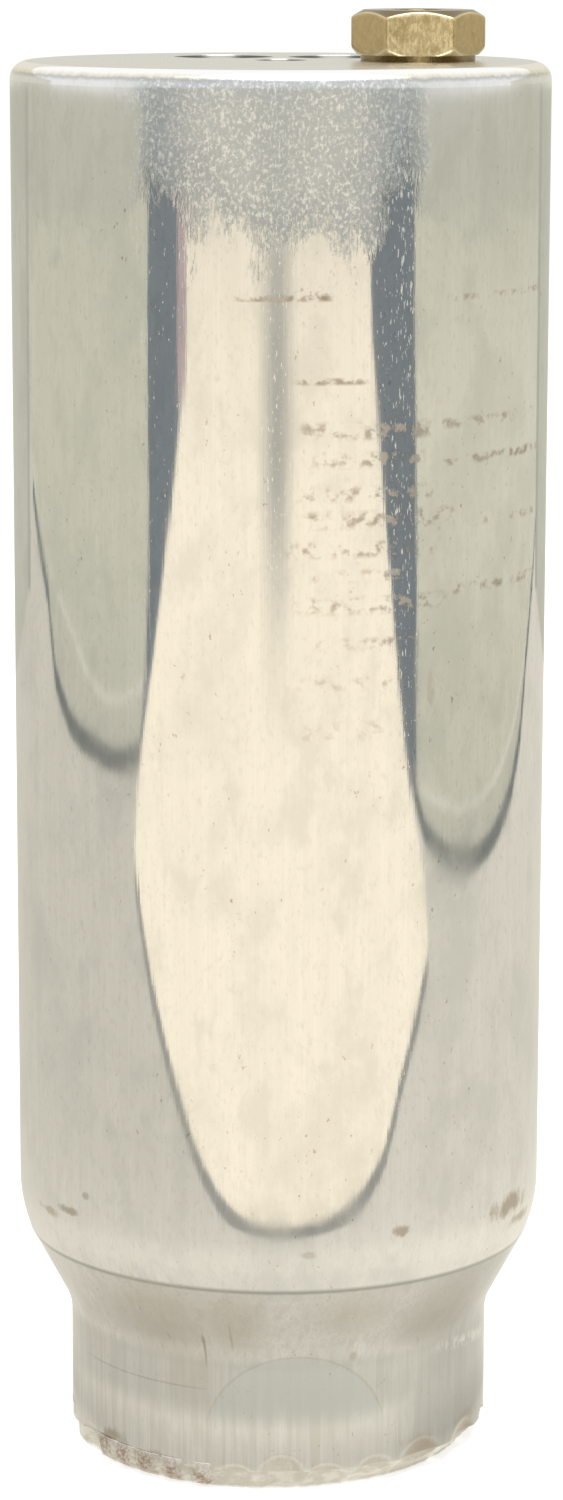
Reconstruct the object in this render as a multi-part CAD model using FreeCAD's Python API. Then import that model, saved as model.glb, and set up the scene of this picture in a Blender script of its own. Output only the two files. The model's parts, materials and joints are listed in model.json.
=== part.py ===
import FreeCAD, Part

import math
import os

from FreeCAD import Vector

# Filter drier (receiver drier) of an air-conditioning circuit.
# An impact-extruded aluminium can stands on its swaged neck. Its thick closed end is the top and holds
# two port bores, the bolt hole of the pipe block and a brass fusible plug. The open end is necked in
# over the packed bed and closed by a welded cap. Millimetres, +Z up, origin at the centre of the base.

UP = Vector(0, 0, 1)
DOWN = Vector(0, 0, -1)

# Can
can_radius = 30.0
can_height = 158.1
can_wall = 2.2
head_thickness = 18.0
top_edge_round = 2.0
head_inner_round = 3.0

# Swaged shoulder and neck
crease_height = 25.0
shoulder_arc_radius = 16.0
shoulder_arc_turn = math.radians(22.0)
cone_angle = math.radians(28.0)
neck_step = 5.9
neck_fillet = 8.0
neck_wall = 3.2

# Welded bottom closure
cap_thickness = 6.4
cap_seat_step = 0.8
cap_rim_height = 0.9
cap_dish_depth = 1.2
cap_land_width = 1.5
weld_root_height = 1.9
weld_edge_height = 2.6
weld_inner_flat = 0.3
base_ring_offset = -1.0
base_ring_inset = 1.2
bevel_spread = 1.0
scallop_depth = 0.9
scallop_pitch = 18.0
scallop_end = 298.0
lump_count = 5
lump_radius = 1.5
lump_height = 2.5
lump_start = math.radians(-55.0)
lump_pitch = math.radians(9.0)
lump_fade = 0.12

# Ports in the head
port_radius = 5.2
port_depth = 9.0
port_chamfer = 0.5
port_web = 1.6
port_shelf = 1.0
inlet_passage_radius = 3.4
bolt_hole_radius = 2.5
bolt_hole_floor = 4.0
bolt_hole_chamfer = 0.5
bolt_web = 2.9

# Fusible plug
plug_rim_gap = 14.8
plug_web = 3.95
hex_across_flats = 13.0
hex_height = 4.9
hex_top_chamfer = 1.4
hex_base_chamfer = 0.8
plug_collar_overlap = 0.4
plug_collar_height = 0.7
plug_thread_radius = 4.76
plug_thread_length = 10.5
plug_tip_chamfer = 0.8
plug_bore_radius = 1.6
plug_mouth_step = 1.0
plug_mouth_depth = 1.4
alloy_recess = 0.25
thread_clearance = 0.03
o_ring_section_radius = 0.6
relief_passage_radius = 2.0

# Pick-up tube and strainer
tube_radius = 4.0
tube_wall = 1.0
tube_clearance = 0.15
strainer_height = 12.0
strainer_floor = 1.5
strainer_collar_height = 4.0
strainer_wall = 0.9
strainer_clearance = 1.5
strainer_rib_count = 6
strainer_rib_width = 1.4
mesh_thickness = 0.3
cap_gap = 1.0

# Packing, from the shoulder upwards
bed_clearance = 0.2
plate_clearance = 0.45
plate_thickness = 1.2
plate_collar_height = 3.0
plate_collar_wall = 1.0
lower_plate_rim = 3.5
upper_plate_rim = 4.0
screen_thickness = 0.5
felt_thickness = 3.0
lower_pad_thickness = 5.0
upper_pad_thickness = 5.0
perforation_radius = 2.0
perforation_pitch = 7.4
perforation_edge = 3.4
perforation_web = 1.6

# Spring between the head and the upper plate
spring_length = 15.2
spring_wire_radius = 1.1
spring_wall_gap = 4.0
spring_turns = 3.0
spring_start_angle = 10.0
spring_seat_gap = 0.05

# Radii and heights of the can that follow from the sizes above
bore_radius = can_radius - can_wall
head_underside = can_height - head_thickness
neck_radius = can_radius - neck_step
neck_bore_radius = neck_radius - neck_wall
cap_radius = neck_bore_radius + cap_seat_step
cap_top = cap_rim_height + cap_thickness
arc_centre_radius = can_radius - shoulder_arc_radius
arc_centre_height = crease_height + shoulder_arc_radius * math.sin(shoulder_arc_turn)
plate_radius = bore_radius - plate_clearance
bed_radius = bore_radius - bed_clearance

# Places in the head: the tube hangs as far out as its strainer can go in the neck, the outlet port
# above it keeps its web to the plug, and the inlet port and the bolt keep theirs to the outlet
o_ring_seat_radius = plug_thread_radius + 2 * o_ring_section_radius
plug_x = can_radius - plug_rim_gap
plug_centre = Vector(plug_x, 0, 0)
strainer_radius = tube_radius + strainer_wall
tube_reach = neck_bore_radius - strainer_radius - strainer_clearance
port_mouth_radius = port_radius + port_chamfer
outlet_to_plug = port_mouth_radius + plug_web + o_ring_seat_radius
outlet_turn = math.acos((plug_x**2 + tube_reach**2 - outlet_to_plug**2) / (2 * plug_x * tube_reach))
outlet_centre = Vector(tube_reach * math.cos(outlet_turn), tube_reach * math.sin(outlet_turn), 0)
inlet_centre = outlet_centre - Vector(2 * port_mouth_radius + port_web, 0, 0)
bolt_reach = port_mouth_radius + bolt_web + bolt_hole_radius
bolt_centre = (inlet_centre + outlet_centre) * 0.5 - Vector(0, bolt_reach, 0)
hex_low = can_height + plug_collar_height
hex_top = hex_low + hex_height
plug_tip = can_height - plug_thread_length

# Heights of the tube and its strainer
tube_top = can_height - port_depth - port_shelf
strainer_bottom = cap_top + cap_gap
strainer_top = strainer_bottom + strainer_height
tube_end = strainer_top - strainer_collar_height


def at(radius, height):
    """Point of a half section: its distance from the axis and its height."""
    return Vector(radius, 0, height)


def lines(*points):
    """Straight edges through the points in order."""
    return [Part.LineSegment(a, b).toShape() for a, b in zip(points, points[1:])]


def revolved(edges, centre=Vector(0, 0, 0)):
    """Solid turned about the upright axis from a closed half section."""
    section = Part.Face(Part.Wire(edges))
    solid = section.revolve(Vector(0, 0, 0), UP, 360)
    solid.translate(centre)
    return solid


def polygon_ring(points, centre=Vector(0, 0, 0)):
    """Turned solid whose half section is the closed polygon through the points."""
    corners = [at(radius, height) for radius, height in points]
    return revolved(lines(*corners, corners[0]), centre)


def rod(radius, low, high, centre=Vector(0, 0, 0)):
    """Upright cylinder between two heights."""
    return Part.makeCylinder(radius, high - low, centre + Vector(0, 0, low), UP)


def pipe(outer, inner, low, high, centre=Vector(0, 0, 0)):
    """Upright hollow cylinder between two heights."""
    return rod(outer, low, high, centre).cut(rod(inner, low, high, centre))


def on_arc(centre_radius, centre_height, radius, turn):
    """Point of the shoulder's rounding, a turn below its start."""
    return at(centre_radius + radius * math.cos(turn), centre_height - radius * math.sin(turn))


def rounded_corner(before, corner, after, radius):
    """Line to a filleted corner and its arc; returns the edges and the point where they end."""
    towards_before = (before - corner).normalize()
    towards_after = (after - corner).normalize()
    half_angle = towards_before.getAngle(towards_after) / 2
    reach = radius / math.tan(half_angle)
    start = corner + towards_before * reach
    end = corner + towards_after * reach
    middle_way = (towards_before + towards_after).normalize()
    middle = corner + middle_way * (radius / math.sin(half_angle) - radius)
    arc = Part.Arc(start, middle, end).toShape()
    return lines(before, start) + [arc], end


def shoulder_arc(radius):
    """The shoulder's rounding at that radius, from the straight wall down to the crease."""
    ends = (0, shoulder_arc_turn / 2, shoulder_arc_turn)
    points = [on_arc(arc_centre_radius, arc_centre_height, radius, turn) for turn in ends]
    return Part.Arc(*points).toShape(), points[0], points[2]


def can_outside():
    """The can's outer form, with the crease where the swaging die stopped."""
    arc, arc_start, crease = shoulder_arc(shoulder_arc_radius)
    cone_drop = (crease.x - neck_radius) / math.tan(cone_angle)
    neck_corner = at(neck_radius, crease.z - cone_drop)
    foot = at(neck_radius, 0)
    top_axis = at(0, can_height)
    top_corner = at(can_radius, can_height)
    top_edges, top_end = rounded_corner(top_axis, top_corner, arc_start, top_edge_round)
    neck_edges, neck_end = rounded_corner(crease, neck_corner, foot, neck_fillet)
    closing = lines(neck_end, foot, at(0, 0), top_axis)
    return revolved(top_edges + lines(top_end, arc_start) + [arc] + neck_edges + closing)


def can_inside():
    """The can's hollow: a straight bore, the shoulder, the neck and the cap's seat."""
    arc, arc_start, crease = shoulder_arc(shoulder_arc_radius - can_wall)
    cone_drop = (crease.x - neck_bore_radius) / math.tan(cone_angle)
    neck_top = at(neck_bore_radius, crease.z - cone_drop)
    roof_axis = at(0, head_underside)
    roof_corner = at(bore_radius, head_underside)
    roof_edges, roof_end = rounded_corner(roof_axis, roof_corner, arc_start, head_inner_round)
    mouth = lines(
        crease,
        neck_top,
        at(neck_bore_radius, cap_top),
        at(cap_radius, cap_top),
        at(cap_radius, 0),
        at(0, 0),
        roof_axis,
    )
    return revolved(roof_edges + lines(roof_end, arc_start) + [arc] + mouth)


def countersink(radius, chamfer, centre):
    """Cutter for the chamfered mouth of a hole in the top face."""
    mouth = radius + chamfer
    low = centre + Vector(0, 0, can_height - chamfer)
    return Part.makeCone(radius, mouth, chamfer, low, UP)


def port_cutter(centre, passage_radius):
    """O-ring bore with its chamfered mouth, and the narrower passage down to the hollow."""
    floor = can_height - port_depth
    bore = rod(port_radius, floor, can_height, centre)
    passage = rod(passage_radius, head_underside, floor, centre)
    return bore.fuse([passage, countersink(port_radius, port_chamfer, centre)])


def plug_hole():
    """Threaded hole of the fusible plug, its O-ring seat and the passage from the hollow."""
    thread = rod(plug_thread_radius + thread_clearance, plug_tip, can_height, plug_centre)
    seat = rod(o_ring_seat_radius, can_height - 2 * o_ring_section_radius, can_height, plug_centre)
    passage = rod(relief_passage_radius, head_underside, plug_tip, plug_centre)
    return thread.fuse([seat, passage])


def bolt_hole():
    """Blind tapped hole of the pipe block's bolt, in front of the web between the ports."""
    floor = head_underside + bolt_hole_floor
    hole = rod(bolt_hole_radius, floor, can_height, bolt_centre)
    tip_depth = bolt_hole_radius * math.tan(math.radians(30))
    drill_tip = Part.makeCone(bolt_hole_radius, 0, tip_depth, bolt_centre + Vector(0, 0, floor), DOWN)
    return hole.fuse([drill_tip, countersink(bolt_hole_radius, bolt_hole_chamfer, bolt_centre)])


def can_blank():
    """The can before welding: outside less hollow, ports and the weld's groove."""
    tube_seat = rod(tube_radius, head_underside, tube_top, outlet_centre)
    groove = polygon_ring(
        [
            (cap_radius, 0),
            (neck_radius + 1, 0),
            (neck_radius + 1, weld_edge_height),
            (neck_radius, weld_edge_height),
            (cap_radius, weld_root_height),
        ]
    )
    cutters = [
        can_inside(),
        groove,
        port_cutter(inlet_centre, inlet_passage_radius),
        port_cutter(outlet_centre, tube_radius - tube_wall),
        tube_seat,
        plug_hole(),
        bolt_hole(),
    ]
    return can_outside().cut(cutters)


def bottom_cap():
    """Thick turned disc, pressed up to the step in the neck, with a shallow dish below."""
    land = cap_radius - (weld_root_height - cap_rim_height)
    dish_edge = land - cap_land_width
    dish_floor = cap_rim_height + cap_dish_depth
    return polygon_ring(
        [
            (0, dish_floor),
            (dish_edge - cap_dish_depth, dish_floor),
            (dish_edge, cap_rim_height),
            (land, cap_rim_height),
            (cap_radius, weld_root_height),
            (cap_radius, cap_top),
            (0, cap_top),
        ]
    )


def scallops():
    """Bites that the weld pool left in the neck's edge: angle from the front, half width and peak.

    The half widths are angles too, in degrees, so that the bites keep their spacing on any neck.
    """
    bites = [
        (-11.5, 6.2, 3.1),
        (1, 7.4, 4.4),
        (13, 6.2, 3.2),
        (27, 7.4, 3.5),
        (42.6, 10.4, 4.45),
        (62.5, 10.4, 4.25),
        (80.5, 8.1, 3.4),
    ]
    count = int((scallop_end - bites[-1][0]) / scallop_pitch)
    first = bites[-1][0] + scallop_pitch
    for number in range(count):
        wander = math.sin(2.1 * number)
        bites.append((first + number * scallop_pitch, 8.6 + wander, 3.8 + 0.5 * wander))
    return bites


def around_neck(angle, radius, height):
    """Point round the neck; angle 0 is the front (-Y) and 90 degrees the right (+X)."""
    return Vector(radius * math.sin(angle), -radius * math.cos(angle), height)


def scallop_cutters():
    """One ball for each bite, sized so that it reaches the bite's depth and half width."""
    balls = []
    for angle, half_angle, peak in scallops():
        half_width = neck_radius * math.radians(half_angle)
        ball_radius = (half_width**2 + scallop_depth**2) / (2 * scallop_depth)
        reach = neck_radius + ball_radius - scallop_depth
        middle = around_neck(math.radians(angle), reach, peak - half_width)
        balls.append(Part.makeSphere(ball_radius, middle))
    return balls


def closing_weld():
    """Weld bead between neck and cap: bevelled off centre, with lumps where it starts and stops."""
    land = cap_radius - (weld_root_height - cap_rim_height)
    bead = polygon_ring(
        [
            (land, cap_rim_height),
            (cap_radius, weld_root_height),
            (neck_radius, weld_edge_height),
            (neck_radius, 0),
            (land + weld_inner_flat, 0),
        ]
    )
    base_radius = neck_radius - base_ring_inset
    bevel = Part.makeCone(
        base_radius,
        base_radius + bevel_spread * weld_edge_height,
        weld_edge_height,
        Vector(base_ring_offset, 0, 0),
        UP,
    )
    bead = bead.common(bevel)
    for number in range(lump_count):
        share = 1 - lump_fade * number
        centre = around_neck(lump_start + lump_pitch * number, neck_radius, lump_height * share)
        inward = around_neck(lump_start + lump_pitch * number, -0.75 * lump_radius, 0)
        bead = bead.fuse(Part.makeSphere(lump_radius * share, centre + inward))
    return bead


def hexagon(corner_radius, height):
    """Corners of a hexagon round the axis, the first one repeated, with flats to front and back."""
    first = Vector(corner_radius, 0, height)
    turn = FreeCAD.Rotation(UP, 60)
    corners = [first]
    for number in range(6):
        corners.append(turn.multVec(corners[-1]))
    return corners


def fusible_plug():
    """Brass hexagon plug, chamfered top and bottom, with a collar and a drilled core."""
    corner_radius = hex_across_flats / 2 / math.cos(math.radians(30))
    prism = Part.Face(Part.makePolygon(hexagon(corner_radius, hex_low))).extrude(Vector(0, 0, hex_height))
    top_drop = hex_top_chamfer * math.tan(math.radians(30))
    turned_form = polygon_ring(
        [
            (0, hex_low),
            (corner_radius - hex_base_chamfer, hex_low),
            (corner_radius, hex_low + hex_base_chamfer),
            (corner_radius, hex_top - top_drop),
            (corner_radius - hex_top_chamfer, hex_top),
            (0, hex_top),
        ]
    )
    head = prism.common(turned_form)
    head.translate(plug_centre)
    collar = rod(o_ring_seat_radius + plug_collar_overlap, can_height, hex_low, plug_centre)
    shank = polygon_ring(
        [
            (0, plug_tip),
            (plug_thread_radius - plug_tip_chamfer, plug_tip),
            (plug_thread_radius, plug_tip + plug_tip_chamfer),
            (plug_thread_radius, can_height),
            (0, can_height),
        ],
        plug_centre,
    )
    return head.fuse([collar, shank]).cut(plug_core(hex_top)).removeSplitter()


def plug_core(top):
    """The plug's drilled way, wider at its mouth, up to the given height."""
    mouth_floor = hex_top - plug_mouth_depth
    bore = rod(plug_bore_radius, plug_tip, mouth_floor, plug_centre)
    mouth = rod(plug_bore_radius + plug_mouth_step, mouth_floor, top, plug_centre)
    return bore.fuse(mouth)


def fusible_alloy():
    """Low-melting alloy cast into the plug's core, a little below its mouth."""
    return plug_core(hex_top - alloy_recess).removeSplitter()


def plug_o_ring():
    """Seal in the seat below the plug's collar."""
    ring_radius = plug_thread_radius + o_ring_section_radius
    middle = plug_centre + Vector(0, 0, can_height - o_ring_section_radius)
    return Part.makeTorus(ring_radius, o_ring_section_radius, middle, UP)


def pick_up_tube():
    """Tube pressed into the head below the outlet port, open near the bottom."""
    return pipe(tube_radius, tube_radius - tube_wall, tube_end, tube_top, outlet_centre)


def strainer_cage():
    """Moulded cage on the tube's lower end: a collar, upright ribs and a floor."""
    collar = pipe(strainer_radius, tube_radius, tube_end, strainer_top, outlet_centre)
    floor = rod(strainer_radius, strainer_bottom, strainer_bottom + strainer_floor, outlet_centre)
    window = pipe(strainer_radius, tube_radius, strainer_bottom, tube_end, outlet_centre)
    cage = collar.fuse(floor)
    for number in range(strainer_rib_count):
        rib = Part.makeBox(strainer_radius, strainer_rib_width, tube_end - strainer_bottom)
        rib.translate(Vector(0, -strainer_rib_width / 2, strainer_bottom))
        rib.rotate(Vector(0, 0, 0), UP, 360 * number / strainer_rib_count)
        rib.translate(outlet_centre)
        cage = cage.fuse(rib.common(window))
    return cage.removeSplitter()


def strainer_mesh():
    """Wire-cloth sleeve inside the cage, between its floor and the tube's end."""
    low = strainer_bottom + strainer_floor
    return pipe(tube_radius, tube_radius - mesh_thickness, low, tube_end, outlet_centre)


def perforations(low, high):
    """Round holes in rings, clear of the tube's collar and of the plate's edge."""
    holes = []
    keep_off = tube_radius + tube_clearance + plate_collar_wall + perforation_radius + perforation_web
    ring_count = int((plate_radius - perforation_edge) / perforation_pitch)
    for ring in range(1, ring_count + 1):
        radius = ring * perforation_pitch
        hole_count = 6 * ring
        for number in range(hole_count):
            angle = 2 * math.pi * number / hole_count
            centre = Vector(radius * math.cos(angle), radius * math.sin(angle), 0)
            if (centre - outlet_centre).Length > keep_off:
                holes.append(rod(perforation_radius, low, high, centre))
    return holes


def pressed_plate(plate_low, rim_low, rim_high):
    """Perforated sheet plate with a turned rim and a drawn collar round the tube."""
    plate_high = plate_low + plate_thickness
    collar_high = plate_high + plate_collar_height
    hole_radius = tube_radius + tube_clearance
    disc = rod(plate_radius, plate_low, plate_high)
    rim = pipe(plate_radius, plate_radius - plate_thickness, rim_low, rim_high)
    collar = rod(hole_radius + plate_collar_wall, plate_low, collar_high, outlet_centre)
    tube_hole = rod(hole_radius, plate_low, collar_high, outlet_centre)
    plate = disc.fuse([rim, collar]).cut([tube_hole] + perforations(plate_low, plate_high))
    return plate.removeSplitter()


def shoulder_seat_height(radius):
    """Height at which a rim of that radius lands on the shoulder's inside."""
    inner_arc_radius = shoulder_arc_radius - can_wall
    crease = on_arc(arc_centre_radius, arc_centre_height, inner_arc_radius, shoulder_arc_turn)
    if radius < crease.x:
        return crease.z - (crease.x - radius) / math.tan(cone_angle)
    turn = math.acos((radius - arc_centre_radius) / inner_arc_radius)
    return arc_centre_height - inner_arc_radius * math.sin(turn)


def packed_disc(low, thickness):
    """Round layer of the packing with its hole for the tube."""
    high = low + thickness
    return rod(bed_radius, low, high).cut(rod(tube_radius + tube_clearance, low, high, outlet_centre))


def compression_spring(low, high):
    """Round-wire spring that holds the packing down; its ends bear on the plate and the head."""
    mean_radius = bore_radius - spring_wall_gap - spring_wire_radius
    end_gap = spring_wire_radius + spring_seat_gap
    rise = high - low - 2 * end_gap
    coil = Part.makeHelix(rise / spring_turns, rise, mean_radius)
    coil.rotate(Vector(0, 0, 0), UP, spring_start_angle)
    coil.translate(Vector(0, 0, low + end_gap))
    edge = coil.Edges[0]
    start = edge.valueAt(edge.FirstParameter)
    heading = edge.tangentAt(edge.FirstParameter)
    section = Part.Wire(Part.makeCircle(spring_wire_radius, start, heading))
    return Part.Wire(coil.Edges).makePipeShell([section], True, True)


def packing():
    """Everything between the shoulder and the head, stacked from the bottom up."""
    rim_low = shoulder_seat_height(plate_radius)
    lower_plate_low = rim_low + lower_plate_rim
    level = lower_plate_low + plate_thickness
    upper_plate_low = head_underside - spring_length - plate_thickness
    bed_height = upper_plate_low - level - 2 * screen_thickness
    bed_height -= felt_thickness + lower_pad_thickness + upper_pad_thickness
    collar_hole_radius = tube_radius + plate_collar_wall + 2 * tube_clearance
    collar_hole = rod(collar_hole_radius, level, level + plate_collar_height, outlet_centre)
    layers = (
        ("lower_screen", screen_thickness),
        ("fine_filter_felt", felt_thickness),
        ("lower_filter_pad", lower_pad_thickness),
        ("desiccant_bed", bed_height),
        ("upper_filter_pad", upper_pad_thickness),
        ("upper_screen", screen_thickness),
    )
    pieces = {"lower_baffle": pressed_plate(lower_plate_low, rim_low, level)}
    for name, thickness in layers:
        pieces[name] = packed_disc(level, thickness).cut(collar_hole)
        level += thickness
    pieces["upper_baffle"] = pressed_plate(level, level, level + upper_plate_rim)
    pieces["compression_spring"] = compression_spring(level + plate_thickness, head_underside)
    return pieces


def build():
    """All pieces by node name."""
    bites = scallop_cutters()
    cap = bottom_cap()
    weld = closing_weld().cut(bites + [cap])
    pieces = {
        "can_body": can_blank().cut(bites).cut(weld),
        "bottom_cap": cap,
        "closing_weld": weld,
        "fusible_plug": fusible_plug(),
        "fusible_alloy": fusible_alloy(),
        "plug_o_ring": plug_o_ring(),
        "pick_up_tube": pick_up_tube(),
        "strainer_cage": strainer_cage(),
        "strainer_mesh": strainer_mesh(),
    }
    pieces.update(packing())
    return pieces


def main():
    os.makedirs("parts", exist_ok=True)
    for name, shape in build().items():
        shape.exportStep(os.path.join("parts", name + ".step"))
        print(f"{name:20s} solids {len(shape.Solids)} volume {shape.Volume:10.1f} mm3 valid {shape.isValid()}")


main()
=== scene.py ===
import json
from math import cos, pi, radians, sin, tan, tau
from types import SimpleNamespace

import bpy
import numpy as np
from mathutils import Matrix, Vector, geometry


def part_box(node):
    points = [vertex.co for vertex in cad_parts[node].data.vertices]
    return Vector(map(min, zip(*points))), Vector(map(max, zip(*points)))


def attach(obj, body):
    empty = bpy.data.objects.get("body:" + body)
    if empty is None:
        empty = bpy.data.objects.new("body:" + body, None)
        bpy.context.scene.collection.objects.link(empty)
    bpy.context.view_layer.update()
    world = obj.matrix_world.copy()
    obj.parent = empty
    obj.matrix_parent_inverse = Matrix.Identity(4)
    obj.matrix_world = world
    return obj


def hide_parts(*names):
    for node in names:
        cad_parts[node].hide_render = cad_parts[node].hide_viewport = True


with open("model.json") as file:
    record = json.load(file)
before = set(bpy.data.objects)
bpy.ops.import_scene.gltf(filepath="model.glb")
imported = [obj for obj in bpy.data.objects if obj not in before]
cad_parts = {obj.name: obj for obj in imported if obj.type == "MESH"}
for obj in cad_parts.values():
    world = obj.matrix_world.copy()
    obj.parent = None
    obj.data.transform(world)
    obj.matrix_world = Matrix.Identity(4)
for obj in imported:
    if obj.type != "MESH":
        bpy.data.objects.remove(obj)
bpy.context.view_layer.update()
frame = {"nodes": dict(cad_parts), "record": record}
mm = 0.001


# the frame gives the sizes that the pieces start from

mounts = {m["name"]: m for m in frame["record"]["mounts"]}
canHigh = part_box("can_body")[1]
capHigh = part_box("bottom_cap")[1]
plugLow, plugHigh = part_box("fusible_plug")
canRadius, canTop = canHigh.x, canHigh.z
capRadius, capTop = capHigh.x, capHigh.z
plugCentre = ((plugLow.x + plugHigh.x) / 2, (plugLow.y + plugHigh.y) / 2)
print("frame: can radius %.4f, top %.4f, plug at x %.4f" % (canRadius, canTop, plugCentre[0]))


# mesh makers

def meshPiece(name, points, faces, replaced, masks):
    # smooth piece on the body, with a value per point under each mask's name
    mesh = bpy.data.meshes.new(name)
    mesh.from_pydata(points.tolist(), [], faces)
    mesh.polygons.foreach_set("use_smooth", np.full(len(mesh.polygons), True))
    for label, values in masks.items():
        mesh.attributes.new(label, "FLOAT", "POINT").data.foreach_set("value", values.astype(np.float32))
    mesh.update()
    piece = bpy.data.objects.new(name, mesh)
    bpy.context.scene.collection.objects.link(piece)
    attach(piece, "root")
    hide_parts(*replaced)
    return piece


def gridFaces(rows, columns, flip=False, ring=False):
    # quads between neighbouring rows and columns of a grid stored row by row; the last column joins the first,
    # and in a ring the last row joins the first too
    row, column = np.meshgrid(np.arange(rows if ring else rows - 1), np.arange(columns), indexing="ij")
    after, below = (column + 1) % columns, (row + 1) % rows
    corners = [row * columns + column, below * columns + column, below * columns + after, row * columns + after]
    quads = np.stack(corners, -1).reshape(-1, 4)
    return (quads[:, ::-1] if flip else quads).tolist()


def fullTurn(columns):
    return np.arange(columns) / columns * tau


def around(radius, angle, height, centre=(0, 0)):
    # x = radius * sin(angle), y = -radius * cos(angle), so angle 0 is the front
    x, y = radius * np.sin(angle) + centre[0], -radius * np.cos(angle) + centre[1]
    return np.stack(np.broadcast_arrays(x, y, height), -1).reshape(-1, 3)


def turned(profile, columns, centre=(0, 0)):
    # every (radius, height) of the profile is carried round the upright axis, and rows run down the profile
    profile = np.asarray(profile, float)
    points = around(profile[:, :1], fullTurn(columns), profile[:, 1:], centre)
    return points, gridFaces(len(profile), columns, flip=True)


def circle(radius, columns, centre=(0, 0)):
    return around(radius, fullTurn(columns), 0.0, centre)[:, :2]


def joined(parts):
    # point lists are stacked and each list's faces are shifted by the points before it
    points, faces, start = [], [], 0
    for partPoints, partFaces in parts:
        points.append(partPoints)
        faces += [[index + start for index in face] for face in partFaces]
        start += len(partPoints)
    return np.concatenate(points), faces


def insideCircle(spot, ring):
    # nearer the circle's middle than the circle's own points are
    middle = ring.mean(0)
    return np.hypot(*(spot - middle)) < np.hypot(*(ring[0] - middle)) * 0.999


def flatWithHoles(outer, holes, height, faceUp=True):
    # flat face inside the outer circle and outside each hole's, filled by a constrained Delaunay triangulation
    flat, edges, start = [], [], 0
    for ring in [outer] + holes:
        flat += [Vector((x, y)) for x, y in ring]
        edges += [(start + i, start + (i + 1) % len(ring)) for i in range(len(ring))]
        start += len(ring)
    made = geometry.delaunay_2d_cdt(flat, edges, [], 0, 1e-7)
    spots = np.array([[p.x, p.y, height] for p in made[0]])
    kept = []
    for face in made[2]:
        middle = spots[list(face), :2].mean(0)
        if insideCircle(middle, outer) and not any(insideCircle(middle, hole) for hole in holes):
            a, b, c = (spots[i] for i in face)
            up = (b[0] - a[0]) * (c[1] - a[1]) - (b[1] - a[1]) * (c[0] - a[0]) > 0
            kept.append(list(face) if up == faceUp else list(face)[::-1])
    return spots, kept


def arc(centreRadius, centreHeight, radius, fromTurn, toTurn, steps):
    # points of an arc in the half section: radius + r*cos(turn), height + r*sin(turn), turns in degrees
    turn = np.radians(np.linspace(fromTurn, toTurn, steps))
    return np.stack([centreRadius + radius * np.cos(turn), centreHeight + radius * np.sin(turn)], -1)


def straight(start, end, step):
    # evenly spaced points from start to end, both left out
    start, end = np.asarray(start, float), np.asarray(end, float)
    count = max(2, int(np.hypot(*(end - start)) / step))
    share = np.arange(1, count)[:, None] / count
    return start + (end - start) * share


def smoothNoise(angle, height, seed, waves, reach):
    # sum of a few sine waves with whole numbers of turns round the can, so that the pattern closes on itself
    random = np.random.default_rng(seed)
    total = np.zeros(np.broadcast(angle, height).shape)
    for number in range(waves):
        turns = random.integers(1, reach[0])
        along = random.uniform(-1, 1) * reach[1]
        total += np.sin(turns * angle + along * height + random.uniform(0, tau)) / waves
    return total


# the can: outside from the top face's edge to the weld, top face, ports, bolt hole and inside

can = {
    "columns": 420,
    "holeColumns": 96,
    "insideColumns": 128,
    "wallStep": 2.0 * mm,
    "topRound": 2.0 * mm,
    "creaseHeight": 25.0 * mm,
    "shoulderRound": 16.0 * mm,
    "shoulderTurn": 22.0,
    "coneAngle": 28.0,
    "neckStep": 5.9 * mm,
    "neckFillet": 8.0 * mm,
    "wall": 2.2 * mm,
    "neckWall": 3.2 * mm,
    "headThickness": 18.0 * mm,
    "roofRound": 3.0 * mm,
    "wander": 0.010 * mm,
    "footWobble": 0.05 * mm,
    "portChamfer": 0.5 * mm,
    "portFloor": 9.0 * mm,
    "passage": 3.4 * mm,
    "tubeBore": 3.0 * mm,
    "tubeSeat": 4.0 * mm,
    "tubeDepth": 10.0 * mm,
    "boltDepth": 14.1 * mm,
    "threadPitch": 0.8 * mm,
    "threadDepth": 0.32 * mm,
    "plugSeat": 5.96 * mm,
    "plugSeatDepth": 1.2 * mm,
    "plugHole": 4.79 * mm,
    "plugHoleDepth": 10.5 * mm,
    "plugPassage": 2.0 * mm,
    "weldEdge": 2.2 * mm,
    "fineFrom": 5.0 * mm,
    "footRadius": 23.1 * mm,
    "footHeight": 1.9 * mm,
    "biteDepth": 0.9 * mm,
    "biteEdge": 0.25 * mm,
}
neckRadius = canRadius - can["neckStep"]
headRoof = canTop - can["headThickness"]
# bites at the foot: angle and half angle in degrees, height of the bite's top in mm; an even row goes on round the back
bites = [(-11.5, 6.2, 3.1), (1, 7.4, 4.4), (13, 6.2, 3.2), (27, 7.4, 3.5), (42.6, 10.4, 4.45), (62.5, 10.4, 4.25),
         (80.5, 8.1, 3.4)]
bites += [(98.5 + 18 * n, 8.6 + sin(2.1 * n), 3.8 + 0.5 * sin(2.1 * n)) for n in range(12)]


def bittenRadius(angle, height):
    # each bite is a ball outside the neck; where it reaches in, the surface follows the ball:
    # radius = c*cos(d) - sqrt(b*b - (c*sin(d))^2 - (z - zb)^2), with c the ball's distance from the axis,
    # d the angle from it, b its radius and zb its height
    reached = np.full(np.broadcast(angle, height).shape, 1.0)
    for biteAngle, halfAngle, peak in bites:
        halfWidth = neckRadius * radians(halfAngle)
        ball = (halfWidth**2 + can["biteDepth"] ** 2) / (2 * can["biteDepth"])
        middle = neckRadius + ball - can["biteDepth"]
        offset = angle - radians(biteAngle)
        inside = ball**2 - (middle * np.sin(offset)) ** 2 - (height - (peak * mm - halfWidth)) ** 2
        hit = (inside > 0) & (np.cos(offset) > 0)
        radius = middle * np.cos(offset) - np.sqrt(np.where(hit, inside, 0))
        reached = np.where(hit, np.minimum(reached, radius), reached)
    return reached


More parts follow.
